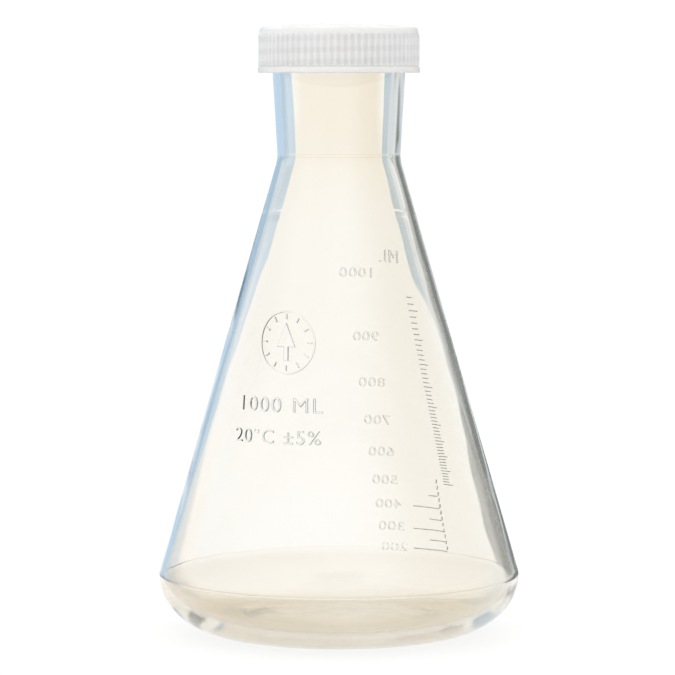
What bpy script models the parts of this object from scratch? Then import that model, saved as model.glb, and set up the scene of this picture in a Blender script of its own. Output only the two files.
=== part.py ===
"""One-litre screw-cap Erlenmeyer flask: a clear moulded body, a ribbed screw cap and the cap's liner.

Metres, +Z up. The origin is the middle of the circle that the flask stands on. The cap turns and
lifts about +Z on a right-hand thread.
"""

import math

import bmesh
import bpy

MM = 0.001

# Flask body, outside
BODY_RADIUS = 65.5 * MM
HEEL_HEIGHT = 21.0 * MM
RING_INNER = 34.5 * MM
RING_OUTER = 39.5 * MM
RECESS_DEPTH = 3.5 * MM
SHOULDER_RADIUS = 8.5 * MM
CONE_ANGLE = math.radians(16.0)
CONE_TOP = 172.3 * MM
NECK_RADIUS = 22.2 * MM
NECK_FILLET = 14.0 * MM
COLLAR_BOTTOM = 199.0 * MM
COLLAR_RADIUS = 23.7 * MM
COLLAR_STEP = 0.35 * MM
FINISH_BOTTOM = 204.6 * MM
FINISH_RADIUS = 25.0 * MM
RIM_TOP = 216.2 * MM
RIM_ROUNDING = 0.7 * MM

# Flask body, inside
WALL = 2.0 * MM
FINISH_SLOPE = 1.0 * MM
FLOOR_THICKNESS = 2.8 * MM

# Screw thread: one right-hand start on the neck, and its mate inside the cap
PITCH = 4.233 * MM
THREAD_HEIGHT = 1.2 * MM
THREAD_BASE = 2.4 * MM
THREAD_CREST = 1.2 * MM
THREAD_TURNS = 1.75
THREAD_BOTTOM = 206.6 * MM
THREAD_ROOT = 0.5 * MM
THREAD_STEPS = 36
THREAD_TAPER_STEPS = 6
THREAD_LEAD = 0.031

# Screw cap
CAP_BOTTOM = 203.4 * MM
CAP_SHOULDER = 219.8 * MM
TOTAL_HEIGHT = 221.0 * MM
FOOT_RADIUS = 29.3 * MM
RIB_RADIUS = 29.1 * MM
GROOVE_RADIUS = 28.65 * MM
RIB_COUNT = 74
RIB_BOTTOM = 205.6 * MM
RIB_TOP = 217.6 * MM
RIB_RAMP = 0.3 * MM
CAP_ROUNDING = 1.5 * MM
BORE_RADIUS = 26.6 * MM
BORE_TOP = 218.1 * MM
BORE_CHAMFER = 0.5 * MM

# Liner, a soft disc between the neck's rim and the cap's top
GAP = 0.3 * MM
LINER_RADIUS = 26.0 * MM
LINER_EDGE = 0.3 * MM

BODY_SEGMENTS = 56
LINER_SEGMENTS = 48
SHARP_ANGLE = math.radians(35.0)


def arc(centre, radii, start, end, steps):
    """Points (radius, height) on an ellipse's arc, angles in degrees, both ends included."""
    points = []
    for step in range(steps + 1):
        angle = math.radians(start + (end - start) * step / steps)
        points.append((centre[0] + radii[0] * math.cos(angle), centre[1] + radii[1] * math.sin(angle)))
    return points


def recess_height(radius):
    """Height of the pushed-up underside at a radius inside the standing ring."""
    return RECESS_DEPTH * (1.0 - (radius / RING_INNER) ** 4)


def wall_outline(inset, flare_top):
    """The cone and neck from the heel's top upwards, moved in by inset, up to the flare's top."""
    cone_degrees = math.degrees(CONE_ANGLE)
    flare = math.atan2(COLLAR_RADIUS - NECK_RADIUS, COLLAR_BOTTOM - CONE_TOP)
    outline = arc(
        (BODY_RADIUS - SHOULDER_RADIUS, HEEL_HEIGHT),
        (SHOULDER_RADIUS - inset, SHOULDER_RADIUS - inset),
        0.0, cone_degrees, 3,
    )[1:]
    tangent = NECK_FILLET * math.tan((CONE_ANGLE + flare) / 2)
    centre = (
        NECK_RADIUS + tangent * math.sin(CONE_ANGLE) + NECK_FILLET * math.cos(CONE_ANGLE),
        CONE_TOP - tangent * math.cos(CONE_ANGLE) + NECK_FILLET * math.sin(CONE_ANGLE),
    )
    radius = NECK_FILLET + inset
    outline += arc(centre, (radius, radius), 180.0 + cone_degrees, 180.0 - math.degrees(flare), 4)
    last_radius, last_height = outline[-1]
    outline.append((last_radius + (flare_top - last_height) * math.tan(flare), flare_top))
    return outline


def body_outline():
    """Closed wall of the flask, from the middle of its underside round the rim to the middle of its floor."""
    recess_radii = [RING_INNER * share for share in (0.0, 0.45, 0.7, 0.86, 0.95)]
    outline = [(radius, recess_height(radius)) for radius in recess_radii]
    outline.append((RING_INNER, 0.0))
    outline += arc((RING_OUTER, HEEL_HEIGHT), (BODY_RADIUS - RING_OUTER, HEEL_HEIGHT), -90.0, 0.0, 8)
    outline += wall_outline(0.0, COLLAR_BOTTOM)
    collar_radius = outline[-1][0] + COLLAR_STEP
    outline.append((collar_radius, COLLAR_BOTTOM + COLLAR_STEP))
    outline.append((collar_radius, FINISH_BOTTOM))
    outline.append((FINISH_RADIUS, FINISH_BOTTOM + FINISH_RADIUS - collar_radius))
    rim_centre = RIM_TOP - RIM_ROUNDING
    outline += arc((FINISH_RADIUS - RIM_ROUNDING, rim_centre), (RIM_ROUNDING, RIM_ROUNDING), 0.0, 90.0, 3)
    inner_radius = FINISH_RADIUS - WALL
    outline += arc((inner_radius + RIM_ROUNDING, rim_centre), (RIM_ROUNDING, RIM_ROUNDING), 90.0, 180.0, 3)
    inside = wall_outline(WALL, FINISH_BOTTOM)
    inside.append((inner_radius, FINISH_BOTTOM + FINISH_SLOPE))
    outline += reversed(inside)
    floor_edge = RING_OUTER - WALL
    outline += arc(
        (floor_edge, HEEL_HEIGHT),
        (BODY_RADIUS - WALL - floor_edge, HEEL_HEIGHT - FLOOR_THICKNESS),
        0.0, -90.0, 7,
    )
    outline += [(radius, FLOOR_THICKNESS + recess_height(radius)) for radius in reversed(recess_radii)]
    return outline


def cap_outline():
    """Closed wall of the cap, from the middle of its top round the skirt to the middle of its ceiling."""
    edge = GROOVE_RADIUS - CAP_ROUNDING
    crown_rise = TOTAL_HEIGHT - CAP_SHOULDER
    outline = [(edge * share, TOTAL_HEIGHT - crown_rise * share ** 2) for share in (0.0, 0.5, 0.8)]
    outline += arc((edge, CAP_SHOULDER - CAP_ROUNDING), (CAP_ROUNDING, CAP_ROUNDING), 90.0, 0.0, 3)
    outline += [
        (GROOVE_RADIUS, RIB_TOP),
        (GROOVE_RADIUS, RIB_TOP - RIB_RAMP),
        (GROOVE_RADIUS, RIB_BOTTOM + RIB_RAMP),
        (GROOVE_RADIUS, RIB_BOTTOM),
        (FOOT_RADIUS, RIB_BOTTOM - RIB_RAMP),
        (FOOT_RADIUS, CAP_BOTTOM),
        (BORE_RADIUS + BORE_CHAMFER, CAP_BOTTOM),
        (BORE_RADIUS, CAP_BOTTOM + BORE_CHAMFER),
        (BORE_RADIUS, BORE_TOP),
        (0.0, BORE_TOP),
    ]
    return outline


def turned(outline, segments):
    """A bmesh turned about Z from an outline of (radius, height) points that starts and ends on the axis."""
    bm = bmesh.new()
    verts = [bm.verts.new((radius, 0.0, height)) for radius, height in outline]
    edges = [bm.edges.new(pair) for pair in zip(verts, verts[1:])]
    bmesh.ops.spin(
        bm, geom=verts + edges, cent=(0.0, 0.0, 0.0), axis=(0.0, 0.0, 1.0),
        angle=2.0 * math.pi, steps=segments, use_merge=True,
    )
    bmesh.ops.remove_doubles(bm, verts=bm.verts, dist=0.00001)
    bmesh.ops.recalc_face_normals(bm, faces=bm.faces)
    return bm


def raise_ribs(bm):
    """Moves every second vertex between the rib's ends out to the rib's crest."""
    step = math.pi / RIB_COUNT
    for vert in bm.verts:
        radius = math.hypot(vert.co.x, vert.co.y)
        index = round(math.atan2(vert.co.y, vert.co.x) / step)
        outside = radius > BORE_RADIUS + BORE_CHAMFER
        between_ends = RIB_BOTTOM + RIB_RAMP / 2 < vert.co.z < RIB_TOP - RIB_RAMP / 2
        if outside and between_ends and index % 2 == 0:
            vert.co.x *= RIB_RADIUS / radius
            vert.co.y *= RIB_RADIUS / radius


def thread_ridge(wall_radius, outward, bottom):
    """A helical ridge on a round wall, sunk a little into it; outward is 1 on a neck and -1 in a bore.

    Both ends taper to a sliver of the ridge, as a moulded thread's do.
    """
    bm = bmesh.new()
    steps = int(THREAD_STEPS * THREAD_TURNS)
    rings = []
    for step in range(steps + 1):
        share = min(1.0, (min(step, steps - step) + 0.5) / THREAD_TAPER_STEPS)
        angle = THREAD_LEAD + 2.0 * math.pi * step / THREAD_STEPS
        middle = bottom + PITCH * step / THREAD_STEPS
        root = wall_radius - outward * THREAD_ROOT
        crest = wall_radius + outward * THREAD_HEIGHT * share
        corners = [
            (root, middle - THREAD_BASE / 2),
            (crest, middle - THREAD_CREST / 2),
            (crest, middle + THREAD_CREST / 2),
            (root, middle + THREAD_BASE / 2),
        ]
        rings.append([
            bm.verts.new((radius * math.cos(angle), radius * math.sin(angle), height))
            for radius, height in corners
        ])
    for ring, following in zip(rings, rings[1:]):
        for side in range(4):
            after = (side + 1) % 4
            bm.faces.new((ring[side], ring[after], following[after], following[side]))
    bm.faces.new(rings[0])
    bm.faces.new(rings[-1])
    bmesh.ops.recalc_face_normals(bm, faces=bm.faces)
    return bm


def as_object(name, bm, material=None):
    """Links a bmesh to the scene as a named object, shaded smooth with its sharp edges kept."""
    mesh = bpy.data.meshes.new(name)
    bm.to_mesh(mesh)
    bm.free()
    mesh.shade_smooth()
    mesh.set_sharp_from_angle(angle=SHARP_ANGLE)
    if material:
        mesh.materials.append(material)
    obj = bpy.data.objects.new(name, mesh)
    bpy.context.collection.objects.link(obj)
    return obj


def plastic(name, colour, roughness, transmission, ior):
    """A clear or milky plastic."""
    material = bpy.data.materials.new(name)
    material.use_nodes = True
    shader = material.node_tree.nodes["Principled BSDF"]
    shader.inputs["Base Color"].default_value = (*colour, 1.0)
    shader.inputs["Metallic"].default_value = 0.0
    shader.inputs["Roughness"].default_value = roughness
    shader.inputs["Transmission Weight"].default_value = transmission
    shader.inputs["IOR"].default_value = ior
    return material


def join_thread(obj, ridge):
    """Unites a wall with its thread ridge, which stays hidden as the modifier's operand."""
    ridge.hide_render = True
    ridge.display_type = "WIRE"
    union = obj.modifiers.new("Thread", "BOOLEAN")
    union.operation = "UNION"
    union.solver = "EXACT"
    union.object = ridge


def make_flask_body():
    """The one-piece clear flask with its neck thread."""
    clear = plastic("clear_plastic", (0.95, 0.94, 0.9), 0.05, 1.0, 1.57)
    body = as_object("flask_body", turned(body_outline(), BODY_SEGMENTS), clear)
    ridge = as_object("neck_thread_ridge", thread_ridge(FINISH_RADIUS, 1, THREAD_BOTTOM))
    join_thread(body, ridge)
    return body


def make_cap():
    """The one-piece ribbed cap; its thread lies half a pitch above the neck's, between its turns."""
    milky = plastic("milky_plastic", (0.88, 0.88, 0.87), 0.35, 0.3, 1.49)
    bm = turned(cap_outline(), 2 * RIB_COUNT)
    raise_ribs(bm)
    cap = as_object("screw_cap", bm, milky)
    ridge = as_object("cap_thread_ridge", thread_ridge(BORE_RADIUS, -1, THREAD_BOTTOM - PITCH / 2))
    join_thread(cap, ridge)
    return cap


def make_liner():
    """The soft sealing disc that the cap presses onto the neck's rim."""
    silicone = plastic("liner_silicone", (0.9, 0.9, 0.88), 0.6, 0.0, 1.41)
    bottom = RIM_TOP + GAP
    top = BORE_TOP - GAP
    outline = [
        (0.0, bottom),
        (LINER_RADIUS - LINER_EDGE, bottom),
        (LINER_RADIUS, bottom + LINER_EDGE),
        (LINER_RADIUS, top - LINER_EDGE),
        (LINER_RADIUS - LINER_EDGE, top),
        (0.0, top),
    ]
    return as_object("cap_liner", turned(outline, LINER_SEGMENTS), silicone)


def main():
    for leftover in list(bpy.data.objects):
        bpy.data.objects.remove(leftover)
    axis = bpy.data.objects.new("screw_axis", None)
    bpy.context.collection.objects.link(axis)
    make_flask_body()
    for piece in (make_cap(), make_liner()):
        piece.parent = axis


main()
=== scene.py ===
"""Looks of a one-litre screw-cap conical flask: clear body with raised marks, milky ribbed cap, soft liner.

Metres, +Z up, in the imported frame. Laid out as an add-on: a sidebar panel lists one operator for each piece.
"""

import math

import bmesh
import bpy
from bpy.props import FloatProperty, FloatVectorProperty, IntProperty, PointerProperty
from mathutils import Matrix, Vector, noise


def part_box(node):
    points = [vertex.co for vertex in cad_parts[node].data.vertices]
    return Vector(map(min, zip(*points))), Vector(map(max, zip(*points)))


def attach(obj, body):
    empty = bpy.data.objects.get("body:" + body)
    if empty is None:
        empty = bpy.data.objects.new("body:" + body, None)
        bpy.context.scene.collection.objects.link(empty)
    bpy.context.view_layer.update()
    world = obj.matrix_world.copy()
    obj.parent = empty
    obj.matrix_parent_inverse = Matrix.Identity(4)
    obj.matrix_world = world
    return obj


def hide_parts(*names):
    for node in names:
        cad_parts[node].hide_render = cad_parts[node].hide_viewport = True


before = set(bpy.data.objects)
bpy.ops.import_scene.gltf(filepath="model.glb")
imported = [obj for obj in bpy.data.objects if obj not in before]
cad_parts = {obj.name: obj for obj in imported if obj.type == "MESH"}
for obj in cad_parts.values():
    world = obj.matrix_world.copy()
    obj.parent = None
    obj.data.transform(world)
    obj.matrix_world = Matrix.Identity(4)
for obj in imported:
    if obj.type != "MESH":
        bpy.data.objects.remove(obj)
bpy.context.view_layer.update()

bl_info = {
    "name": "Screw-cap conical flask",
    "version": (1, 0, 0),
    "blender": (4, 5, 0),
    "location": "View3D > Sidebar > Flask",
    "description": "Builds the body, cap, liner and stage of a one-litre conical flask",
    "category": "Add Mesh",
}

MM = 0.001
BODY_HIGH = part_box("flask_body")[1]
CAP_LOW, CAP_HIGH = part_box("screw_cap")
LINER_LOW, LINER_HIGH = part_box("cap_liner")

# Flask body, outside, upwards from the standing ring
BODY_RADIUS = BODY_HIGH.x
HEEL_HEIGHT = 21.0 * MM
RING_INNER = 34.5 * MM
RING_OUTER = 39.5 * MM
RECESS_DEPTH = 3.5 * MM
SHOULDER_RADIUS = 8.5 * MM
CONE_ANGLE = math.radians(16.0)
CONE_TOP = 172.3 * MM
NECK_RADIUS = 22.2 * MM
NECK_FILLET = 14.0 * MM
COLLAR_BOTTOM = 199.0 * MM
COLLAR_RADIUS = 23.7 * MM
FINISH_BOTTOM = 204.6 * MM
FINISH_RADIUS = 25.0 * MM
RIM_TOP = BODY_HIGH.z
RIM_ROUNDING = 0.7 * MM
FLOOR_THICKNESS = 2.8 * MM
MOULD_LINES = ((21.6 * MM, 1.0), (152.5 * MM, 0.25), (173.5 * MM, 0.2))  # height, share of the relief

# Screw thread
PITCH = 4.233 * MM
THREAD_HEIGHT = 1.2 * MM
THREAD_BASE = 2.4 * MM
THREAD_CREST = 1.2 * MM
THREAD_TURNS = 1.75
THREAD_BOTTOM = 206.6 * MM
THREAD_ROOT = 0.5 * MM
THREAD_LEAD = 0.031  # bearing of its lower end, in radians

# Screw cap
CAP_BOTTOM = CAP_LOW.z
CAP_TOP = CAP_HIGH.z
CAP_SHOULDER = 219.8 * MM
FOOT_RADIUS = CAP_HIGH.x
GROOVE_RADIUS = 28.65 * MM
RIB_BOTTOM = 205.6 * MM
RIB_TOP = 217.6 * MM
CAP_ROUNDING = 1.5 * MM
BORE_RADIUS = 26.6 * MM
BORE_TOP = 218.1 * MM
BORE_CHAMFER = 0.5 * MM

# Marks raised on the body; each place is (along the surface from its bearing, height)
DIAL_PLACE = (-19.3 * MM, 108.5 * MM)
DIAL_RADIUS = 11.0 * MM
DIAL_RING = 0.5 * MM
VOLUME_PLACE = (-22.6 * MM, 86.6 * MM)
VOLUME_SIZE = 7.4 * MM
TOLERANCE_PLACE = (-23.4 * MM, 75.6 * MM)
TOLERANCE_SIZE = 6.8 * MM
UNIT_PLACE = (-21.2 * MM, 135.4 * MM)
UNIT_SIZE = 6.8 * MM
NUMERAL_SIZE = 5.1 * MM
NUMERAL_START = 7.2 * MM
NUMERAL_LEAN = 0.142
BAR_WIDTH = 0.4 * MM
LONG_BAR_START = 30.4 * MM
SHORT_BAR_START = 37.7 * MM
FINE_BAR = 3.4 * MM
FIFTH_FINE_BAR = 5.0 * MM
LETTER_FLANK = 0.028  # share of a letter's size
# Painted shade: the marks' sloping flanks are darkened in colour, standing in for the dark edges that
# refraction gives them
PAINTED_FLANK_SHADE = (0.58, 0.59, 0.59)

# Refraction, and how often light may bounce: it is reflected many times inside the thick heel
BODY_INDEX = 1.57
CAP_INDEX = 1.49
LINER_INDEX = 1.41
LIGHT_BOUNCES = 40

# Bearings on the round body, measured like angles about Z
FRONT = math.radians(-90.0)
BACK = math.radians(90.0)
SEAM_BEARING = math.radians(41.2)
LADDER_BEARING = math.radians(45.0)


class BodySettings(bpy.types.PropertyGroup):
    wall: FloatProperty(
        name="Wall", description="Thickness of the cone's and neck's wall",
        default=2.0 * MM, min=0.5 * MM, max=4.0 * MM, unit="LENGTH", subtype="DISTANCE",
    )
    relief: FloatProperty(
        name="Mark relief", description="How far the moulded marks stand out of the wall",
        default=0.42 * MM, min=0.05 * MM, max=1.0 * MM, unit="LENGTH", subtype="DISTANCE",
    )
    mould_line: FloatProperty(
        name="Mould line", description="How far the fine ring left by the mould stands out",
        default=0.09 * MM, min=0.0, max=0.5 * MM, unit="LENGTH", subtype="DISTANCE",
    )
    waviness: FloatProperty(
        name="Waviness", description="Largest unevenness of the inner wall, at the heel",
        default=0.3 * MM, min=0.0, max=1.5 * MM, unit="LENGTH", subtype="DISTANCE",
    )
    segments: IntProperty(
        name="Segments", description="Faces around the body", default=224, min=64, max=512,
    )
    tint: FloatVectorProperty(
        name="Tint", description="Colour that one pass through the wall gives to light",
        subtype="COLOR", size=3, default=(0.983, 0.975, 0.952), min=0.0, max=1.0,
    )


class CapSettings(bpy.types.PropertyGroup):
    rib_count: IntProperty(
        name="Ribs", description="Vertical grip ribs around the cap", default=74, min=12, max=160,
    )
    rib_depth: FloatProperty(
        name="Rib depth", description="From groove to crest",
        default=0.45 * MM, min=0.0, max=1.0 * MM, unit="LENGTH", subtype="DISTANCE",
    )
    steps_per_rib: IntProperty(
        name="Steps per rib", description="Faces around the cap for each rib", default=8, min=4, max=16,
    )
    colour: FloatVectorProperty(
        name="Colour", description="Milky plastic", subtype="COLOR", size=3,
        default=(0.988, 0.985, 0.978), min=0.0, max=1.0,
    )


class LinerSettings(bpy.types.PropertyGroup):
    edge: FloatProperty(
        name="Edge rounding", description="Radius of the disc's edge",
        default=0.35 * MM, min=0.05 * MM, max=0.6 * MM, unit="LENGTH", subtype="DISTANCE",
    )
    colour: FloatVectorProperty(
        name="Colour", description="Silicone", subtype="COLOR", size=3,
        default=(0.85, 0.85, 0.82), min=0.0, max=1.0,
    )


class StageSettings(bpy.types.PropertyGroup):
    camera_distance: FloatProperty(
        name="Camera distance", description="From the flask's axis to the camera",
        default=1.25, min=0.4, max=5.0, unit="LENGTH", subtype="DISTANCE",
    )
    camera_height: FloatProperty(
        name="Camera height", description="Above the floor",
        default=0.2061, min=0.0, max=2.0, unit="LENGTH", subtype="DISTANCE",
    )
    camera_pitch: FloatProperty(
        name="Camera pitch", description="Angle that the camera looks down by",
        default=math.radians(4.516), min=-1.5, max=1.5, unit="ROTATION", subtype="ANGLE",
    )
    lens: FloatProperty(
        name="Lens", description="Focal length in millimetres", default=184.0, min=20.0, max=400.0,
    )
    floor_radius: FloatProperty(
        name="Floor radius", description="Where the pale floor has faded away",
        default=0.26, min=0.1, max=5.0, unit="LENGTH", subtype="DISTANCE",
    )


# Node trees


class Term:
    """A node socket used as a number: sums on it add Math nodes to its tree."""

    def __init__(self, tree, socket):
        self.tree = tree
        self.socket = socket

    def joined(self, operation, first, second):
        node = self.tree.node("ShaderNodeMath", {"operation": operation}, {0: first, 1: second})
        return Term(self.tree, node.outputs[0])

    def __add__(self, other):
        return self.joined("ADD", self, other)

    def __sub__(self, other):
        return self.joined("SUBTRACT", self, other)

    def __rsub__(self, other):
        return self.joined("SUBTRACT", other, self)

    def __mul__(self, other):
        return self.joined("MULTIPLY", self, other)

    def __truediv__(self, other):
        return self.joined("DIVIDE", self, other)

    __radd__ = __add__
    __rmul__ = __mul__


class Tree:
    """Adds nodes to one node tree."""

    def __init__(self, tree):
        self.tree = tree

    def node(self, kind, settings=None, inputs=None):
        """One node: its settings first, then each input as a value, a Term or a socket to link."""
        node = self.tree.nodes.new(kind)
        for name, value in (settings or {}).items():
            setattr(node, name, value)
        for key, value in (inputs or {}).items():
            if isinstance(value, Term):
                value = value.socket
            if isinstance(value, bpy.types.NodeSocket):
                self.tree.links.new(value, node.inputs[key])
            else:
                node.inputs[key].default_value = value
        return node

    def term(self, kind, settings=None, inputs=None, output=0):
        """One output of a new node, as a Term."""
        return Term(self, self.node(kind, settings, inputs).outputs[output])

    def ease(self, value, low, high, start=0.0, end=1.0):
        """start below low, end above high, and a smooth change between them."""
        settings = {"interpolation_type": "SMOOTHSTEP"}
        inputs = {"Value": value, "From Min": low, "From Max": high, "To Min": start, "To Max": end}
        return self.term("ShaderNodeMapRange", settings, inputs)

    def slope(self, value, given, wanted):
        """A straight change from wanted's first to its last as value goes over given, level outside it."""
        inputs = {
            "Value": value, "From Min": given[0], "From Max": given[1],
            "To Min": wanted[0], "To Max": wanted[1],
        }
        return self.term("ShaderNodeMapRange", {}, inputs)

    def blend(self, factor, first, second, mode="MIX"):
        """A colour between two others, or in MULTIPLY mode the first darkened by the second."""
        settings = {"data_type": "RGBA", "blend_type": mode}
        node = self.node("ShaderNodeMix", settings, {"Factor": factor})
        for socket, value in zip((node.inputs[6], node.inputs[7]), (first, second)):
            if isinstance(value, bpy.types.NodeSocket):
                self.tree.links.new(value, socket)
            else:
                socket.default_value = (*value, 1.0)
        return node.outputs[2]

    def place(self):
        """Object coordinates, in metres."""
        return self.node("ShaderNodeTexCoord").outputs["Object"]

    def cloud(self, place, scale, detail=2.0, roughness=0.5, distortion=0.0):
        """Soft noise from 0 to 1."""
        inputs = {
            "Vector": place, "Scale": scale, "Detail": detail,
            "Roughness": roughness, "Distortion": distortion,
        }
        return self.term("ShaderNodeTexNoise", {}, inputs)

    def stretched(self, place, scale):
        """Coordinates scaled along each axis."""
        settings = {"vector_type": "POINT"}
        return self.node("ShaderNodeMapping", settings, {"Vector": place, "Scale": scale}).outputs[0]

    def bump(self, height, distance):
        """A normal tilted by a height from 0 to 1 that stands for this distance."""
        inputs = {"Height": height, "Distance": distance, "Strength": 1.0}
        return self.node("ShaderNodeBump", {}, inputs).outputs[0]


def new_material(name):
    """An empty material and its tree, with only the output node."""
    material = bpy.data.materials.new(name)
    material.use_nodes = True
    material.node_tree.nodes.clear()
    return material, Tree(material.node_tree)


def finish_material(tree, shader, volume=None):
    """Links a shader, and a volume if there is one, to a new output node."""
    inputs = {"Surface": shader.outputs[0]}
    if volume:
        inputs["Volume"] = volume.outputs[0]
    tree.node("ShaderNodeOutputMaterial", {}, inputs)


def deeper(tint, powers):
    """A tint as deep as several passes of light make it, with a power for each channel."""
    return [channel ** power for channel, power in zip(tint, powers)]


def body_tint(tree, tint, sideways, height, cloudy, low):
    """The body's colour: warmer up the cone and in the neck's middle, with painted shade that makes the right
    warmer and the left and right sides deeper low on the cone, more at the left, and deepest at the heel,
    partly its own tint and partly painted shade.

    sideways goes from -1 at the body's left to 1 at its right.
    """
    # upper and neck are the body's own tints; thick and the right side's tint are painted shade, and heel and
    # foot are partly the heel's own tint and partly painted shade
    upper = deeper(tint, (2.8, 2.5, 2.1))
    neck = deeper(tint, (3.2, 3.7, 3.6))
    thick = deeper(tint, (1.0, 2.2, 2.5))
    right_shade_tint = deeper(tint, (2.0, 1.7, 1.4))
    heel = deeper(tint, (7.0, 6.2, 4.6))
    foot = deeper(tint, (9.0, 8.0, 6.6))
    # Painted shade is heavier at the left: this weight is 1 at the left side and 0.3 at the right
    left_shade_weight = tree.ease(sideways, -0.6, 0.6, 1.0, 0.3)
    off_middle = tree.term("ShaderNodeMath", {"operation": "ABSOLUTE"}, {0: sideways})
    edge = tree.slope(height, (150.0 * MM, 190.0 * MM), (0.86, 0.64))
    middle = tree.ease(off_middle - edge, -0.05, 0.14, 1.0, 0.0)
    colour = tree.blend(tree.ease(height + cloudy * 0.03, 30.0 * MM, 120.0 * MM), tint, upper)
    colour = tree.blend(tree.ease(height + cloudy * 0.02, 140.0 * MM, 195.0 * MM), colour, neck)
    # Painted shade: low on the cone, the left and right sides take a deeper tint, more at the left
    edges = tree.blend(tree.ease(height, 90.0 * MM, 40.0 * MM) * left_shade_weight, tint, thick)
    colour = tree.blend(middle, edges, colour)
    # Painted shade: the right of the middle is made warmer
    right_shade_mask = tree.ease(sideways, 0.1, 0.6) * middle
    colour = tree.blend(right_shade_mask, colour, right_shade_tint, "MULTIPLY")
    # Deeper at the heel and deepest at the bottom, more at the left: partly the thick heel's own tint, partly
    # painted shade of the shadowed floor seen through it
    colour = tree.blend(low * (0.5 + left_shade_weight * 0.5), colour, heel, "MULTIPLY")
    return tree.blend(tree.ease(height, 9.0 * MM, 1.0 * MM), colour, foot, "MULTIPLY")


def mark_flanks(tree, x, y, height, radius):
    """1 on the sloping flanks of the marks, where the surface doesn't face as the cone does."""
    facing = tree.node("ShaderNodeNewGeometry").outputs["True Normal"]
    facing = tree.node("ShaderNodeSeparateXYZ", {}, {0: facing})
    across, along, upward = (Term(tree, socket) for socket in facing.outputs)
    outward = (x * across + y * along) / radius
    squareness = outward * math.cos(CONE_ANGLE) + upward * math.sin(CONE_ANGLE)
    squareness = tree.term("ShaderNodeMath", {"operation": "ABSOLUTE"}, {0: squareness})
    on_cone = tree.ease(height, 26.0 * MM, 30.0 * MM) * tree.ease(height, 140.0 * MM, 145.0 * MM, 1.0, 0.0)
    return tree.ease(squareness, 0.9, 0.8) * on_cone


def clear_plastic(tint):
    """Moulded copolyester: clear, warmer where thicker, with painted shade in its colour at the sides, the
    heel and the marks' flanks, flow ripples, rubbed patches and fine scuffs.
    """
    material, tree = new_material("clear_plastic")
    place = tree.place()
    axes = tree.node("ShaderNodeSeparateXYZ", {}, {0: place})
    x, y, height = (Term(tree, socket) for socket in axes.outputs)
    radius = tree.term("ShaderNodeMath", {"operation": "SQRT"}, {0: x * x + y * y + 1e-6})
    cloudy = tree.cloud(place, 14.0) - 0.5
    low = tree.ease(height + cloudy * 0.004, 24.0 * MM, 18.0 * MM)
    colour = body_tint(tree, tint, x / radius, height, cloudy, low)
    flank = mark_flanks(tree, x, y, height, radius)
    # Painted shade: the marks' flanks are darkened in colour, in place of the dark edges that refraction gives
    # them
    colour = tree.blend(flank, colour, PAINTED_FLANK_SHADE, "MULTIPLY")
    rubbed = tree.ease(tree.cloud(place, 38.0, 5.0, 0.62, 0.4), 0.55, 0.8)
    lengthwise = tree.stretched(place, (900.0, 900.0, 60.0))
    scuffs = tree.ease(tree.cloud(lengthwise, 1.0, 2.0), 0.66, 0.8)
    roughness = 0.01 + rubbed * 0.03 + scuffs * 0.04 + low * 0.015 + flank * 0.16
    ripple = tree.cloud(tree.stretched(place, (1.0, 1.0, 0.45)), 60.0, 1.0)
    grain = tree.cloud(place, 1400.0, 1.0)
    normal = tree.bump(ripple + grain * 0.004 + scuffs * 0.005, 0.12 * MM)
    shader = tree.node("ShaderNodeBsdfPrincipled", {}, {
        "Base Color": colour, "Roughness": roughness, "Normal": normal,
        "IOR": BODY_INDEX, "Transmission Weight": 1.0,
    })
    absorbed = {"Color": (0.93, 0.92, 0.88, 1.0), "Density": 10.0}
    volume = tree.node("ShaderNodeVolumeAbsorption", {}, absorbed)
    finish_material(tree, shader, volume)
    return material


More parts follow.
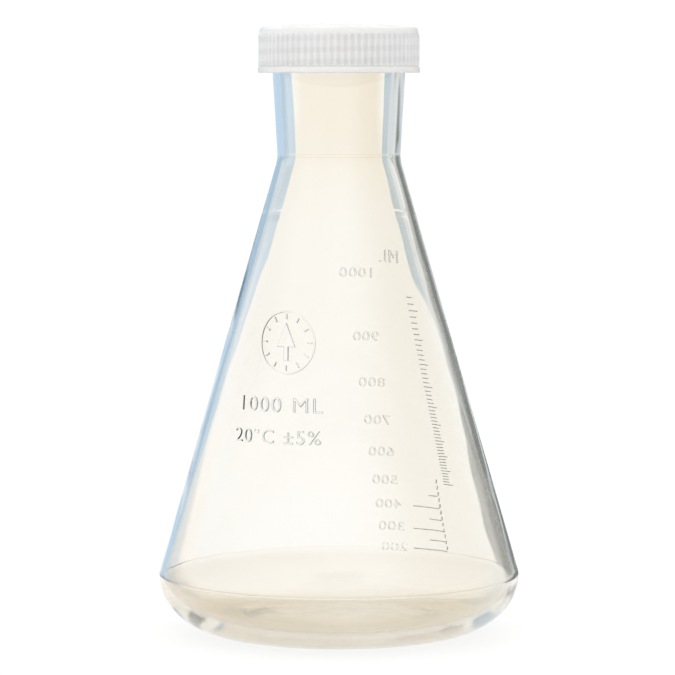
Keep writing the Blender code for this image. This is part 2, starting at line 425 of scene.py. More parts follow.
def milky_plastic(colour):
    """Natural polypropylene: lets light through without a clear view, with painted shade in the grooves and on
    the foot band and a painted shadow of the inner thread.
    """
    material, tree = new_material("milky_plastic")
    place = tree.place()
    axes = tree.node("ShaderNodeSeparateXYZ", {}, {0: place})
    x, y, height = (Term(tree, socket) for socket in axes.outputs)
    radius = tree.term("ShaderNodeMath", {"operation": "SQRT"}, {0: x * x + y * y})
    flow = tree.cloud(tree.stretched(place, (1.0, 1.0, 0.5)), 90.0, 3.0, 0.55, 0.6)
    shade = [channel * 0.97 for channel in colour]
    mottled = tree.blend(tree.ease(flow, 0.35, 0.7), colour, shade)
    skirt = tree.ease(height, RIB_BOTTOM - 0.2 * MM, RIB_BOTTOM)
    skirt = skirt * tree.ease(height, RIB_TOP - 0.5 * MM, RIB_TOP, 1.0, 0.0)
    groove = tree.ease(radius, GROOVE_RADIUS + 0.32 * MM, GROOVE_RADIUS + 0.05 * MM)
    groove = groove * tree.ease(radius, BORE_RADIUS + 0.6 * MM, BORE_RADIUS + 1.2 * MM) * skirt
    # Painted shade: the grooves between the ribs are darkened in colour
    mottled = tree.blend(groove, mottled, (0.91, 0.91, 0.92), "MULTIPLY")
    turns = height / PITCH - x.joined("ARCTAN2", y, x) / (2.0 * math.pi)
    wave = tree.term("ShaderNodeMath", {"operation": "SINE"}, {0: turns * (2.0 * math.pi)})
    threaded = tree.ease(height, CAP_BOTTOM + 1.5 * MM, CAP_BOTTOM + 3.0 * MM)
    threaded = threaded * tree.ease(height, BORE_TOP - 1.0 * MM, BORE_TOP + 1.0 * MM, 1.0, 0.0)
    # Painted shadow: a darker helix in the colour where the inner thread shows through the cap, besides the
    # bands that light through the cap gives
    thread = tree.ease(wave, -0.4, 0.7) * threaded
    mottled = tree.blend(thread, mottled, (0.94, 0.94, 0.95), "MULTIPLY")
    # Painted shade: the smooth foot band below the ribs is darkened in colour
    foot = tree.ease(height, RIB_BOTTOM, RIB_BOTTOM - 0.4 * MM)
    mottled = tree.blend(foot, mottled, (0.94, 0.94, 0.93), "MULTIPLY")
    grain = tree.cloud(place, 1900.0, 2.0)
    roughness = 0.29 + flow * 0.12 + grain * 0.05 + groove * 0.1
    normal = tree.bump(grain * 0.3 + flow * 0.8, 0.04 * MM)
    shader = tree.node("ShaderNodeBsdfPrincipled", {}, {
        "Base Color": mottled, "Roughness": roughness, "Normal": normal,
        "IOR": CAP_INDEX, "Transmission Weight": 0.45,
    })
    finish_material(tree, shader)
    return material


def liner_silicone(colour):
    """Soft matt silicone with a fine moulded texture."""
    material, tree = new_material("liner_silicone")
    place = tree.place()
    speckle = tree.cloud(place, 700.0, 3.0)
    shade = [channel * 0.9 for channel in colour]
    mottled = tree.blend(speckle, colour, shade)
    roughness = 0.5 + speckle * 0.2
    normal = tree.bump(speckle, 0.05 * MM)
    shader = tree.node("ShaderNodeBsdfPrincipled", {}, {
        "Base Color": mottled, "Roughness": roughness, "Normal": normal, "IOR": LINER_INDEX,
    })
    finish_material(tree, shader)
    return material


# Shapes


def arc(centre, radii, start, end, steps):
    """Points (radius, height) on an ellipse's arc, angles in degrees, both ends included."""
    points = []
    for step in range(steps + 1):
        angle = math.radians(start + (end - start) * step / steps)
        points.append((centre[0] + radii[0] * math.cos(angle), centre[1] + radii[1] * math.sin(angle)))
    return points


def in_short_steps(outline, longest):
    """The same outline with its long straight stretches cut into equal steps."""
    cut = [outline[0]]
    for start, end in zip(outline, outline[1:]):
        count = max(1, math.ceil(math.dist(start, end) / longest))
        for step in range(1, count + 1):
            share = step / count
            cut.append((start[0] + (end[0] - start[0]) * share, start[1] + (end[1] - start[1]) * share))
    return cut


def recess_height(radius):
    """Height of the pushed-up underside at a radius inside the standing ring."""
    return RECESS_DEPTH * (1.0 - (radius / RING_INNER) ** 4)


def cone_wall(inset, flare_top):
    """The cone and neck from the heel's top upwards, moved in by inset, up to the flare's top."""
    cone_degrees = math.degrees(CONE_ANGLE)
    flare = math.atan2(COLLAR_RADIUS - NECK_RADIUS, COLLAR_BOTTOM - CONE_TOP)
    outline = arc(
        (BODY_RADIUS - SHOULDER_RADIUS, HEEL_HEIGHT),
        (SHOULDER_RADIUS - inset, SHOULDER_RADIUS - inset),
        0.0, cone_degrees, 6,
    )[1:]
    tangent = NECK_FILLET * math.tan((CONE_ANGLE + flare) / 2)
    centre = (
        NECK_RADIUS + tangent * math.sin(CONE_ANGLE) + NECK_FILLET * math.cos(CONE_ANGLE),
        CONE_TOP - tangent * math.cos(CONE_ANGLE) + NECK_FILLET * math.sin(CONE_ANGLE),
    )
    radius = NECK_FILLET + inset
    outline += arc(centre, (radius, radius), 180.0 + cone_degrees, 180.0 - math.degrees(flare), 12)
    last_radius, last_height = outline[-1]
    outline.append((last_radius + (flare_top - last_height) * math.tan(flare), flare_top))
    return outline


def with_mould_lines(outline, lines):
    """An upward outline with a fine raised line at each (height, relief)."""
    half_width = 0.3 * MM
    for height, relief in lines:
        after = next(index for index, point in enumerate(outline) if point[1] > height)
        (low_radius, low), (high_radius, high) = outline[after - 1], outline[after]
        slope = (high_radius - low_radius) / (high - low)
        radius = low_radius + slope * (height - low)
        outline[after:after] = [
            (radius - slope * half_width, height - half_width),
            (radius + relief, height),
            (radius + slope * half_width, height + half_width),
        ]
    return outline


def body_skins(wall, mould_line):
    """The outer outline, from under the middle to the rim, and the inner one, from the rim to the floor."""
    recess_radii = [RING_INNER * math.sin(math.radians(5.0 * step)) for step in range(18)]
    outer = [(radius, recess_height(radius)) for radius in recess_radii]
    outer.append((RING_INNER, 0.0))
    outer += arc((RING_OUTER, HEEL_HEIGHT), (BODY_RADIUS - RING_OUTER, HEEL_HEIGHT), -90.0, 0.0, 28)
    upward = cone_wall(0.0, FINISH_BOTTOM)
    upward = with_mould_lines(upward, [(height, mould_line * share) for height, share in MOULD_LINES])
    shoulder = FINISH_RADIUS - upward[-1][0]
    upward.append((FINISH_RADIUS, FINISH_BOTTOM + shoulder))
    rim_centre = RIM_TOP - RIM_ROUNDING
    rounding = (RIM_ROUNDING, RIM_ROUNDING)
    upward += arc((FINISH_RADIUS - RIM_ROUNDING, rim_centre), rounding, 0.0, 90.0, 6)
    longest = 2.6 * MM
    outer = outer + in_short_steps(upward, longest)
    inner_radius = FINISH_RADIUS - wall
    inner = arc((inner_radius + RIM_ROUNDING, rim_centre), rounding, 90.0, 180.0, 6)
    inside = cone_wall(wall, FINISH_BOTTOM)
    inside.append((inner_radius, FINISH_BOTTOM + 1.0 * MM))
    inner += in_short_steps(list(reversed(inside)), longest)
    floor_edge = RING_OUTER - wall
    inner += arc(
        (floor_edge, HEEL_HEIGHT),
        (BODY_RADIUS - wall - floor_edge, HEEL_HEIGHT - FLOOR_THICKNESS),
        0.0, -90.0, 28,
    )
    inner += [(radius, FLOOR_THICKNESS + recess_height(radius)) for radius in reversed(recess_radii)]
    return outer, inner


def heel_waver(angle, radius, height, most):
    """How far the moulding's inner skin wanders: most at the heel and floor, little up the cone."""
    low = max(0.0, 1.0 - height / 0.034)
    amount = most * (0.16 + 0.84 * low * low * (3.0 - 2.0 * low))
    spot = Vector((math.cos(angle) * radius * 26.0, math.sin(angle) * radius * 26.0, height * 34.0))
    slow = noise.noise(spot + Vector((3.1, 7.7, 1.3)))
    fast = noise.noise(spot * 2.3 + Vector((9.2, 0.4, 5.8)))
    return amount * (slow * 1.25 + fast * 0.45)


def turned(outline, segments, shift=None):
    """A bmesh turned about Z from (radius, height) points that start and end on the axis.

    shift, if given, takes (point number, angle, radius, height) and gives a new (radius, height).
    """
    bm = bmesh.new()
    rings = []
    for number, (radius, height) in enumerate(outline):
        if radius < 1e-7:
            rings.append([bm.verts.new((0.0, 0.0, height))])
            continue
        ring = []
        for segment in range(segments):
            angle = 2.0 * math.pi * segment / segments
            near, level = shift(number, angle, radius, height) if shift else (radius, height)
            ring.append(bm.verts.new((near * math.cos(angle), near * math.sin(angle), level)))
        rings.append(ring)
    for ring, following in zip(rings, rings[1:]):
        for segment in range(segments):
            after = (segment + 1) % segments
            corners = [
                ring[segment % len(ring)], ring[after % len(ring)],
                following[after % len(following)], following[segment % len(following)],
            ]
            bm.faces.new(list(dict.fromkeys(corners)))
    bmesh.ops.recalc_face_normals(bm, faces=bm.faces)
    return bm


def thread_ridge(wall_radius, outward, bottom):
    """A helical ridge on a round wall with rounded flanks; outward is 1 on a neck and -1 in a bore."""
    bm = bmesh.new()
    turn_steps = 120
    steps = int(turn_steps * THREAD_TURNS)
    taper = turn_steps / 7
    rings = []
    for step in range(steps + 1):
        share = min(1.0, (min(step, steps - step) + 0.5) / taper)
        share = share * share * (3.0 - 2.0 * share)
        angle = THREAD_LEAD + 2.0 * math.pi * step / turn_steps
        middle = bottom + PITCH * step / turn_steps
        root = wall_radius - outward * THREAD_ROOT
        crest = wall_radius + outward * THREAD_HEIGHT * share
        shoulder = wall_radius + outward * (THREAD_HEIGHT - 0.25 * MM) * share
        corners = [
            (root, -THREAD_BASE / 2), (shoulder, -THREAD_CREST / 2 - 0.12 * MM),
            (crest, -THREAD_CREST / 2 + 0.15 * MM), (crest, THREAD_CREST / 2 - 0.15 * MM),
            (shoulder, THREAD_CREST / 2 + 0.12 * MM), (root, THREAD_BASE / 2),
        ]
        rings.append([
            bm.verts.new((radius * math.cos(angle), radius * math.sin(angle), middle + rise))
            for radius, rise in corners
        ])
    for ring, following in zip(rings, rings[1:]):
        for side in range(len(ring)):
            after = (side + 1) % len(ring)
            bm.faces.new((ring[side], ring[after], following[after], following[side]))
    bm.faces.new(rings[0])
    bm.faces.new(rings[-1])
    bmesh.ops.recalc_face_normals(bm, faces=bm.faces)
    return bm


def as_object(name, bm, material=None):
    """Links a bmesh as an object and frees it."""
    mesh = bpy.data.meshes.new(name)
    bm.to_mesh(mesh)
    bm.free()
    if material:
        mesh.materials.append(material)
    obj = bpy.data.objects.new(name, mesh)
    bpy.context.scene.collection.objects.link(obj)
    return obj


def evaluated_mesh(obj):
    """A plain copy of an object's mesh with its modifiers in it."""
    evaluated = obj.evaluated_get(bpy.context.evaluated_depsgraph_get())
    return bpy.data.meshes.new_from_object(evaluated)


def keep_modifiers(obj):
    """Turns an object's modifiers into its mesh and removes them."""
    mesh = evaluated_mesh(obj)
    obj.modifiers.clear()
    obj.data = mesh


def unite(obj, addition):
    """Joins a closed addition to a closed piece as one skin, and removes the addition."""
    union = obj.modifiers.new("Unite", "BOOLEAN")
    union.operation = "UNION"
    union.solver = "MANIFOLD"
    union.object = addition
    keep_modifiers(obj)
    bpy.data.objects.remove(addition)


def smooth_shaded(obj, degrees):
    """Shades an object smooth except across edges sharper than this."""
    obj.data.shade_smooth()
    obj.data.set_sharp_from_angle(angle=math.radians(degrees))


def run_nodes(obj, group, values):
    """Gives an object a Geometry Nodes modifier with these inputs, by name, and keeps its result."""
    modifier = obj.modifiers.new(group.name, "NODES")
    modifier.node_group = group
    sockets = {item.name: item.identifier for item in group.interface.items_tree if item.in_out == "INPUT"}
    for name, value in values.items():
        modifier[sockets[name]] = value
    keep_modifiers(obj)


def new_group(name, inputs):
    """A Geometry Nodes group with a geometry in and out and these named inputs: (name, socket type)."""
    group = bpy.data.node_groups.new(name, "GeometryNodeTree")
    group.interface.new_socket("Geometry", in_out="INPUT", socket_type="NodeSocketGeometry")
    group.interface.new_socket("Geometry", in_out="OUTPUT", socket_type="NodeSocketGeometry")
    for label, kind in inputs:
        group.interface.new_socket(label, in_out="INPUT", socket_type=kind)
    tree = Tree(group)
    return group, tree, tree.node("NodeGroupInput").outputs


# Raised marks, laid out flat and then wrapped onto the cone


def volume_below(height, wall):
    """Volume inside the body under a level surface, in cubic metres."""
    _outer, inner = body_skins(wall, 0.0)
    upward = list(reversed(inner))
    total = 0.0
    for (radius, low), (next_radius, high) in zip(upward, upward[1:]):
        top = min(high, height)
        if top <= low and high >= low:
            continue
        share = (top - low) / (high - low) if high > low else 1.0
        top_radius = radius + (next_radius - radius) * share
        slab = top - low if high > low else high - low
        total += math.pi * slab * (radius ** 2 + radius * top_radius + top_radius ** 2) / 3.0
    return total


def height_of_volume(litres, wall):
    """Level at which the body holds a volume, found by halving."""
    low = 10.0 * MM
    high = CONE_TOP
    for _ in range(30):
        middle = (low + high) / 2.0
        if volume_below(middle, wall) < litres * 0.001:
            low = middle
        else:
            high = middle
    return (low + high) / 2.0


def cone_radius(height):
    """Outer radius of the cone at a height."""
    start = HEEL_HEIGHT + SHOULDER_RADIUS * math.sin(CONE_ANGLE)
    start_radius = BODY_RADIUS - SHOULDER_RADIUS * (1.0 - math.cos(CONE_ANGLE))
    return start_radius - (height - start) * math.tan(CONE_ANGLE)


def wrap_on_cone(mesh, bearing):
    """Moves flat marks, drawn as (along, height, out), onto the cone around a bearing."""
    for vert in mesh.vertices:
        along, height, out = vert.co
        radius = cone_radius(height)
        angle = bearing + along / radius
        near = radius + out * math.cos(CONE_ANGLE)
        vert.co = (near * math.cos(angle), near * math.sin(angle), height + out * math.sin(CONE_ANGLE))


def raised(name, curve, flank, relief):
    """A flat curve's filled shape as a closed mesh that stands out by relief, with sloping flanks."""
    curve.extrude = relief - flank
    curve.bevel_depth = flank
    curve.bevel_resolution = 0
    curve.offset = -flank
    obj = bpy.data.objects.new(name, curve)
    bpy.context.scene.collection.objects.link(obj)
    bpy.context.view_layer.update()
    mesh = evaluated_mesh(obj)
    bpy.data.objects.remove(obj)
    return mesh


def flat_text(words, size, place, relief, spacing, across):
    """Closed raised letters centred on a flat (along, height) place, and made wider by across."""
    curve = bpy.data.curves.new("letters", "FONT")
    curve.body = words
    curve.size = size
    curve.space_character = spacing
    curve.align_x = "CENTER"
    curve.align_y = "CENTER"
    curve.resolution_u = 6
    mesh = raised("letters", curve, size * LETTER_FLANK, relief)
    along, height = place
    for vert in mesh.vertices:
        vert.co = (vert.co.x * across + along, vert.co.y + height, vert.co.z)
    return mesh


def flat_shape(loops, flank, relief):
    """A closed raised shape within one or more loops of (along, height) points."""
    curve = bpy.data.curves.new("shape", "CURVE")
    curve.dimensions = "2D"
    curve.fill_mode = "BOTH"
    for loop in loops:
        spline = curve.splines.new("POLY")
        spline.points.add(len(loop) - 1)
        for point, (along, height) in zip(spline.points, loop):
            point.co = (along, height, 0.0, 1.0)
        spline.use_cyclic_u = True
    return raised("shape", curve, flank, relief)


def bar_group():
    """Geometry Nodes: a fine raised bar on each point, as long and thick as the point's own size."""
    group, tree, given = new_group("graduation_bars", (
        ("Relief", "NodeSocketFloat"), ("Steps", "NodeSocketInt"), ("Material", "NodeSocketMaterial"),
    ))
    points = tree.node("GeometryNodeMeshToPoints", {}, {"Mesh": given["Geometry"]})
    box_size = tree.node("ShaderNodeCombineXYZ", {}, {0: 1.0, 1: 1.0, 2: Term(tree, given["Relief"]) * 2.0})
    bar = tree.node("GeometryNodeMeshCube", {}, {
        "Size": box_size.outputs[0], "Vertices X": given["Steps"],
    })
    size = tree.node("GeometryNodeInputNamedAttribute", {"data_type": "FLOAT_VECTOR"}, {"Name": "bar_size"})
    axes = tree.node("ShaderNodeSeparateXYZ", {}, {0: tree.node("GeometryNodeInputPosition").outputs[0]})
    _x, side, out = (Term(tree, socket) for socket in axes.outputs)
    on_top = out.joined("GREATER_THAN", out, 0.0)
    squeeze = tree.node("ShaderNodeCombineXYZ", {}, {1: side * on_top * -0.7})
    sloped = tree.node("GeometryNodeSetPosition", {}, {
        "Geometry": bar.outputs[0], "Offset": squeeze.outputs[0],
    })
    placed = tree.node("GeometryNodeInstanceOnPoints", {}, {
        "Points": points.outputs[0], "Instance": sloped.outputs[0], "Scale": size.outputs[0],
    })
    realized = tree.node("GeometryNodeRealizeInstances", {}, {0: placed.outputs[0]})
    finished = tree.node("GeometryNodeSetMaterial", {}, {
        "Geometry": realized.outputs[0], "Material": given["Material"],
    })
    tree.node("NodeGroupOutput", {}, {0: finished.outputs[0]})
    return group


def flat_bars(bars, relief, material):
    """A mesh of raised bars from (along, height, length, thickness)."""
    mesh = bpy.data.meshes.new("bars")
    mesh.from_pydata([(along, height, 0.0) for along, height, _length, _thick in bars], [], [])
    sizes = mesh.attributes.new("bar_size", "FLOAT_VECTOR", "POINT")
    for index, (_along, _height, length, thick) in enumerate(bars):
        sizes.data[index].vector = (length, thick, 1.0)
    obj = bpy.data.objects.new("bars", mesh)
    bpy.context.scene.collection.objects.link(obj)
    run_nodes(obj, bar_group(), {"Relief": relief, "Steps": 12, "Material": material})
    made = obj.data
    bpy.data.objects.remove(obj)
    return made


def scale_numerals(settings):
    """Numerals of the volume scale on the back, in a column that leans outwards as it goes down."""
    relief = settings.relief
    top_height = height_of_volume(1.0, settings.wall)
    meshes = [flat_text("ML", UNIT_SIZE, UNIT_PLACE, relief, 1.1, 1.1)]
    for step in range(2, 11):
        height = height_of_volume(step / 10.0, settings.wall)
        along = -(NUMERAL_START + (top_height - height) * NUMERAL_LEAN)
        meshes.append(flat_text(str(step * 100), NUMERAL_SIZE, (along, height), relief, 1.12, 1.3))
    return meshes


def scale_bars(settings, material):
    """The volume scale's bars: long and short ones low down, a fine ladder above, and the seam beside."""
    bars = []
    for twentieth in range(4, 10):
        height = height_of_volume(twentieth / 20.0, settings.wall)
        start = -SHORT_BAR_START if twentieth % 2 else -LONG_BAR_START
        end = -cone_radius(height) * SEAM_BEARING + 0.5 * MM
        bars.append(((start + end) / 2, height, start - end, BAR_WIDTH))
    for hundredth in range(50, 98):
        height = height_of_volume(hundredth / 100.0, settings.wall)
        length = FINE_BAR if hundredth % 5 else FIFTH_FINE_BAR
        start = -cone_radius(height) * LADDER_BEARING
        bars.append((start - length / 2, height, length, BAR_WIDTH))
    bottom, top = 22.5 * MM, 51.0 * MM
    steps = 12
    for step in range(steps):
        low = bottom + (top - bottom) * step / steps
        high = bottom + (top - bottom) * (step + 1) / steps
        middle = (low + high) / 2
        bars.append((-cone_radius(middle) * SEAM_BEARING, middle, BAR_WIDTH, high - low - 0.02 * MM))
    return [flat_bars(bars, settings.relief, material)]


def date_dial(relief):
    """A moulder's date mark: a thin ring, a tick for each month, and an arrow that points at one."""
    along, height = DIAL_PLACE
    edges = (DIAL_RADIUS, DIAL_RADIUS - DIAL_RING)
    ring = [arc(DIAL_PLACE, (reach, reach), 0.0, 360.0, 72)[:-1] for reach in edges]
    arrow = [(-0.9, -6.4), (0.9, -6.4), (0.9, -1.6), (3.6, -1.6), (0.0, 6.8), (-3.6, -1.6), (-0.9, -1.6)]
    meshes = [
        flat_shape(ring, 0.05 * MM, relief * 0.5),
        flat_shape([[(along + x * MM, height + y * MM) for x, y in arrow]], 0.2 * MM, relief),
    ]
    for month in range(12):
        turn = math.radians(30.0 * month)
        ends = []
        for reach, side in ((1.2, -1), (1.2, 1), (3.0, 1), (3.0, -1)):
            near = DIAL_RADIUS - reach * MM
            swing = turn + side * 0.25 * MM / near
            ends.append((along + near * math.cos(swing), height + near * math.sin(swing)))
        meshes.append(flat_shape([ends], 0.1 * MM, relief))
    return meshes


def front_marks(settings):
    """Plain marks on the front: a date dial, the nominal volume, and its tolerance at room temperature."""
    relief = settings.relief
    return date_dial(relief) + [
        flat_text("1000 ML", VOLUME_SIZE, VOLUME_PLACE, relief, 1.15, 1.16),
        flat_text("20°C ±5%", TOLERANCE_SIZE, TOLERANCE_PLACE, relief, 1.12, 1.12),
    ]


def joined_marks(name, meshes, bearing):
    """One object of closed marks wrapped onto the cone."""
    bm = bmesh.new()
    for mesh in meshes:
        wrap_on_cone(mesh, bearing)
        bm.from_mesh(mesh)
        bpy.data.meshes.remove(mesh)
    bmesh.ops.remove_doubles(bm, verts=bm.verts, dist=0.002 * MM)
    bmesh.ops.recalc_face_normals(bm, faces=bm.faces)
    return as_object(name, bm)


# Pieces


def make_body(settings):
    """The body with its thread and marks, as one skin."""
    outer, inner = body_skins(settings.wall, settings.mould_line)
    rim_points = 20
    first_wavy = len(outer) + rim_points

    def shift(number, angle, radius, height):
        if number < first_wavy:
            return radius, height
        waver = heel_waver(angle, radius, height, settings.waviness)
        floor_share = max(0.0, min(1.0, (HEEL_HEIGHT - height) / HEEL_HEIGHT))
        return radius + waver * (1.0 - floor_share), height + waver * floor_share

    material = clear_plastic(settings.tint)
    body = as_object("flask_body_visual", turned(outer + inner, settings.segments, shift), material)
    unite(body, as_object("ridge", thread_ridge(FINISH_RADIUS, 1, THREAD_BOTTOM)))
    unite(body, joined_marks("front_marks", front_marks(settings), FRONT))
    unite(body, joined_marks("scale_numerals", scale_numerals(settings), BACK))
    unite(body, joined_marks("scale_bars", scale_bars(settings, material), BACK))
    smooth_shaded(body, 32.0)
    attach(body, "flask")
    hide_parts("flask_body")


def cap_outline():
    """Closed wall of the cap, from the middle of its top round the skirt to the middle of its ceiling."""
    edge = GROOVE_RADIUS - CAP_ROUNDING
    crown = []
    for step in range(20):
        share = step / 20
        rise = (CAP_TOP - CAP_SHOULDER) * share ** 2
        ring = 0.22 * MM * math.exp(-((share * edge - 17.0 * MM) / (0.7 * MM)) ** 2)
        gate = 0.25 * MM * math.exp(-((share * edge) / (2.0 * MM)) ** 2)
        crown.append((edge * share, CAP_TOP - rise + ring - gate))
    outline = crown + arc(
        (edge, CAP_SHOULDER - CAP_ROUNDING), (CAP_ROUNDING, CAP_ROUNDING), 90.0, 0.0, 8
    )
    skirt = [(GROOVE_RADIUS, RIB_TOP), (GROOVE_RADIUS, RIB_BOTTOM)]
    outline += in_short_steps(skirt, 0.4 * MM)
    outline += [
        (FOOT_RADIUS - 0.15 * MM, RIB_BOTTOM - 0.3 * MM),
        (FOOT_RADIUS, RIB_BOTTOM - 0.5 * MM),
        (FOOT_RADIUS, CAP_BOTTOM + 0.25 * MM),
        (FOOT_RADIUS - 0.25 * MM, CAP_BOTTOM),
        (BORE_RADIUS + BORE_CHAMFER, CAP_BOTTOM),
        (BORE_RADIUS, CAP_BOTTOM + BORE_CHAMFER),
    ]
    fillet = 0.4 * MM
    bore = [(BORE_RADIUS, CAP_BOTTOM + BORE_CHAMFER), (BORE_RADIUS, BORE_TOP - fillet)]
    outline += in_short_steps(bore, 1.5 * MM)[1:]
    outline += arc((BORE_RADIUS - fillet, BORE_TOP - fillet), (fillet, fillet), 0.0, 90.0, 3)[1:]
    outline += [(BORE_RADIUS * share, BORE_TOP) for share in (0.8, 0.6, 0.4, 0.2, 0.0)]
    return outline


def rib_group():
    """Geometry Nodes: raises rounded vertical ribs on a cap's skirt, fading out at both ends."""
    group, tree, given = new_group("grip_ribs", (
        ("Ribs", "NodeSocketFloat"), ("Depth", "NodeSocketFloat"), ("Bottom", "NodeSocketFloat"),
        ("Top", "NodeSocketFloat"), ("Least radius", "NodeSocketFloat"), ("Material", "NodeSocketMaterial"),
    ))
    position = tree.node("GeometryNodeInputPosition").outputs[0]
    axes = tree.node("ShaderNodeSeparateXYZ", {}, {0: position})
    x, y, height = (Term(tree, socket) for socket in axes.outputs)
    bearing = x.joined("ARCTAN2", y, x)
    wave = tree.term("ShaderNodeMath", {"operation": "COSINE"}, {0: bearing * Term(tree, given["Ribs"])})
    crest = tree.ease(wave, -0.55, 0.75)
    fade = 0.9 * MM
    bottom = Term(tree, given["Bottom"])
    top = Term(tree, given["Top"])
    upper = tree.ease(height, top - fade, top, 1.0, 0.0)
    lower = tree.ease(height, bottom, bottom + 0.5 * fade)
    radius = tree.term("ShaderNodeMath", {"operation": "SQRT"}, {0: x * x + y * y})
    outside = radius.joined("GREATER_THAN", radius, Term(tree, given["Least radius"]))
    push = crest * upper * lower * outside * Term(tree, given["Depth"]) / radius
    offset = tree.node("ShaderNodeCombineXYZ", {}, {0: x * push, 1: y * push, 2: 0.0})
    moved = tree.node("GeometryNodeSetPosition", {}, {
        "Geometry": given["Geometry"], "Offset": offset.outputs[0],
    })
    realized = tree.node("GeometryNodeRealizeInstances", {}, {0: moved.outputs[0]})
    finished = tree.node("GeometryNodeSetMaterial", {}, {
        "Geometry": realized.outputs[0], "Material": given["Material"],
    })
    tree.node("NodeGroupOutput", {}, {0: finished.outputs[0]})
    return group


def make_cap(settings):
    """The cap with its ribs and inner thread, as one skin."""
    material = milky_plastic(settings.colour)
    around = settings.rib_count * settings.steps_per_rib
    cap = as_object("screw_cap_visual", turned(cap_outline(), around), material)
    run_nodes(cap, rib_group(), {
        "Ribs": float(settings.rib_count), "Depth": settings.rib_depth, "Bottom": RIB_BOTTOM,
        "Top": RIB_TOP, "Least radius": BORE_RADIUS + 1.0 * MM, "Material": material,
    })
    unite(cap, as_object("ridge", thread_ridge(BORE_RADIUS, -1, THREAD_BOTTOM - PITCH / 2)))
    smooth_shaded(cap, 40.0)
    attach(cap, "cap")
    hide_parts("screw_cap")


def make_liner(settings):
    """The liner: a flat disc with a shallow bead where the rim meets it."""
    radius = LINER_HIGH.x
    edge = settings.edge
    bottom, top = LINER_LOW.z, LINER_HIGH.z
    seat = FINISH_RADIUS - 1.0 * MM
    outline = [(seat * share, bottom) for share in (0.0, 0.35, 0.7)]
    outline += arc((seat, bottom), (0.9 * MM, 0.15 * MM), 180.0, 0.0, 8)
    outline += arc((radius - edge, bottom + edge), (edge, edge), -90.0, 0.0, 6)
    outline += arc((radius - edge, top - edge), (edge, edge), 0.0, 90.0, 6)
    outline += [(seat * share, top) for share in (0.7, 0.35, 0.0)]
    material = liner_silicone(settings.colour)
    liner = as_object("cap_liner_visual", turned(outline, 128), material)
    smooth_shaded(liner, 35.0)
    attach(liner, "liner")
    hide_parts("cap_liner")


def pale_floor(radius):
    """White laminate that fades into the surroundings."""
    material, tree = new_material("pale_floor")
    place = tree.place()
    distance = tree.term("ShaderNodeVectorMath", {"operation": "LENGTH"}, {0: place}, output=1)
    grain = tree.cloud(place, 500.0, 2.0)
    colour = tree.blend(grain, (0.93, 0.91, 0.87), (0.9, 0.88, 0.84))
    near = tree.ease(distance, 55.0 * MM, 110.0 * MM, 0.14, 0.04)
    fading = tree.ease(distance, radius * 0.4, radius * 0.95, 1.0, 0.0)
    shader = tree.node("ShaderNodeBsdfPrincipled", {}, {
        "Base Color": colour, "Roughness": 0.55 + grain * 0.1, "Alpha": near * fading,
    })
    finish_material(tree, shader)
    return material


def studio_light():
    """Soft surroundings: white, brighter overhead, with a cool panel to the left and grey ones to the right.

    left and right are bearings in radians from behind the flask; up is the sine of the elevation.
    """
    world = bpy.data.worlds.new("studio")
    bpy.context.scene.world = world
    world.use_nodes = True
    world.node_tree.nodes.clear()
    tree = Tree(world.node_tree)
    direction = tree.node("ShaderNodeTexCoord").outputs["Generated"]
    axes = tree.node("ShaderNodeSeparateXYZ", {}, {0: direction})
    x, y, up = (Term(tree, socket) for socket in axes.outputs)
    right = x.joined("ARCTAN2", x, y)
    left = 0.0 - right
    soft = 0.008
    level = tree.ease(up, -0.15, -0.11) * tree.ease(up, 0.3, 0.5, 1.0, 0.0)

    left_edge = tree.slope(up, (-0.075, -0.035), (0.314, 0.119))
    far_edge = tree.slope(up, (0.03, 0.1), (1.15, 0.75))
    cool = tree.ease(left - left_edge, -soft, soft) * level
    cool = cool * tree.ease(left - far_edge, -0.1, 0.1, 1.0, 0.0)
    blue = tree.blend(tree.ease(up, -0.014, 0.01), (0.515, 0.68, 0.85), (0.4, 0.55, 0.69))

    right_edge = tree.slope(up, (-0.096, 0.021), (0.136, 0.27))
    grey = tree.ease(right - right_edge, -soft, soft) * level
    grey = grey * tree.ease(right, 0.7, 0.87, 1.0, 0.0)
    pale = tree.ease(up, -0.05, -0.04) * tree.ease(up, -0.022, -0.012, 1.0, 0.0)
    greys = tree.blend(pale, (0.22, 0.235, 0.225), (0.62, 0.665, 0.7))

    strip = tree.ease(right, 0.105, 0.111) * tree.ease(right, 0.23, 0.25, 1.0, 0.0)
    strip = strip * tree.ease(up, -0.045, -0.035) * tree.ease(up, 0.02, 0.06, 1.0, 0.0)
    strip_colour = tree.blend(tree.ease(right, 0.155, 0.17), (0.44, 0.56, 0.66), (0.64, 0.69, 0.74))

    colour = tree.blend(cool, (1.0, 1.0, 1.0), blue)
    colour = tree.blend(strip, colour, strip_colour)
    colour = tree.blend(grey, colour, greys)
    front_left = tree.ease(y, 0.2, -0.6, 0.0, 0.2) * tree.ease(x, 0.6, -0.4)
    strength = tree.ease(up, 0.1, 0.8, 1.02, 1.45) + front_left
    background = tree.node("ShaderNodeBackground", {}, {"Color": colour, "Strength": strength})
    tree.node("ShaderNodeOutputWorld", {}, {"Surface": background.outputs[0]})


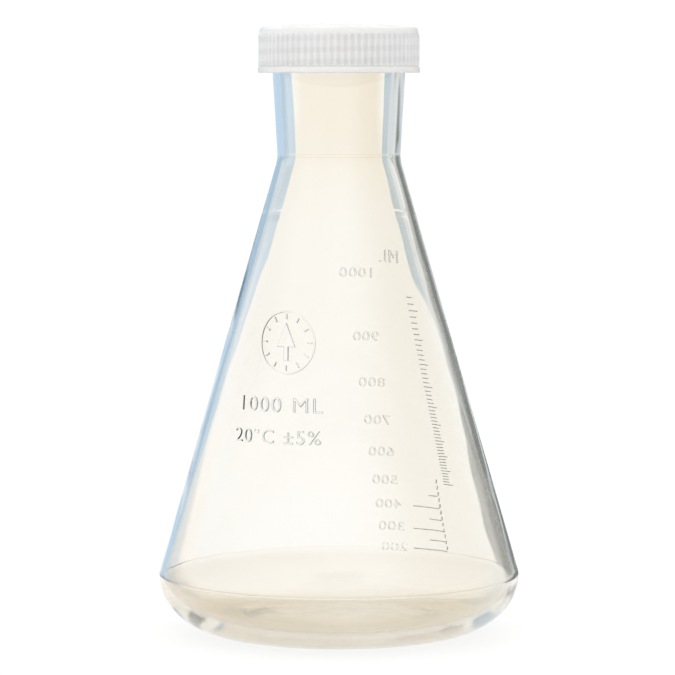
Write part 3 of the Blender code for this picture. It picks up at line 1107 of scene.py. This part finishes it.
def make_stage(settings):
    """Floor, surroundings and camera."""
    bm = bmesh.new()
    bmesh.ops.create_grid(bm, x_segments=12, y_segments=12, size=settings.floor_radius)
    floor = as_object("floor", bm, pale_floor(settings.floor_radius))
    studio_light()
    camera = bpy.data.cameras.new("camera")
    camera.lens = settings.lens
    camera.sensor_width = 36.0
    camera.clip_end = 20.0
    viewer = bpy.data.objects.new("camera", camera)
    bpy.context.scene.collection.objects.link(viewer)
    viewer.location = (-0.5 * MM, -settings.camera_distance, settings.camera_height)
    viewer.rotation_euler = (math.radians(90.0) - settings.camera_pitch, 0.0, 0.0)
    bpy.context.scene.camera = viewer
    bpy.context.scene.view_settings.view_transform = "Standard"
    cycles = bpy.context.scene.cycles
    cycles.max_bounces = LIGHT_BOUNCES
    cycles.transmission_bounces = LIGHT_BOUNCES
    cycles.glossy_bounces = LIGHT_BOUNCES


# Add-on layout


class FLASK_OT_body(bpy.types.Operator):
    """Build the clear flask body with its thread, marks and mould lines"""

    bl_idname = "flask.body"
    bl_label = "Flask body"

    def execute(self, context):
        make_body(context.scene.flask_body)
        return {"FINISHED"}


class FLASK_OT_cap(bpy.types.Operator):
    """Build the milky screw cap with its ribs and inner thread"""

    bl_idname = "flask.cap"
    bl_label = "Screw cap"

    def execute(self, context):
        make_cap(context.scene.flask_cap)
        return {"FINISHED"}


class FLASK_OT_liner(bpy.types.Operator):
    """Build the soft liner inside the cap"""

    bl_idname = "flask.liner"
    bl_label = "Cap liner"

    def execute(self, context):
        make_liner(context.scene.flask_liner)
        return {"FINISHED"}


class FLASK_OT_stage(bpy.types.Operator):
    """Build the floor, the studio light and the camera"""

    bl_idname = "flask.stage"
    bl_label = "Stage"

    def execute(self, context):
        make_stage(context.scene.flask_stage)
        return {"FINISHED"}


class FLASK_PT_pieces(bpy.types.Panel):
    """The flask's pieces and their settings"""

    bl_idname = "FLASK_PT_pieces"
    bl_label = "Conical flask"
    bl_space_type = "VIEW_3D"
    bl_region_type = "UI"
    bl_category = "Flask"

    def draw(self, context):
        for operator, owner in PANEL_ROWS:
            box = self.layout.box()
            box.operator(operator)
            settings = getattr(context.scene, owner)
            for name in settings.__annotations__:
                box.prop(settings, name)


PANEL_ROWS = (
    ("flask.body", "flask_body"),
    ("flask.cap", "flask_cap"),
    ("flask.liner", "flask_liner"),
    ("flask.stage", "flask_stage"),
)
CLASSES = (
    BodySettings, CapSettings, LinerSettings, StageSettings,
    FLASK_OT_body, FLASK_OT_cap, FLASK_OT_liner, FLASK_OT_stage, FLASK_PT_pieces,
)


def register():
    for cls in CLASSES:
        bpy.utils.register_class(cls)
    bpy.types.Scene.flask_body = PointerProperty(type=BodySettings)
    bpy.types.Scene.flask_cap = PointerProperty(type=CapSettings)
    bpy.types.Scene.flask_liner = PointerProperty(type=LinerSettings)
    bpy.types.Scene.flask_stage = PointerProperty(type=StageSettings)


def unregister():
    for _operator, owner in PANEL_ROWS:
        delattr(bpy.types.Scene, owner)
    for cls in reversed(CLASSES):
        bpy.utils.unregister_class(cls)


def main():
    register()
    bpy.ops.flask.body()
    bpy.ops.flask.cap()
    bpy.ops.flask.liner()
    bpy.ops.flask.stage()


if __name__ == "__main__":
    main()
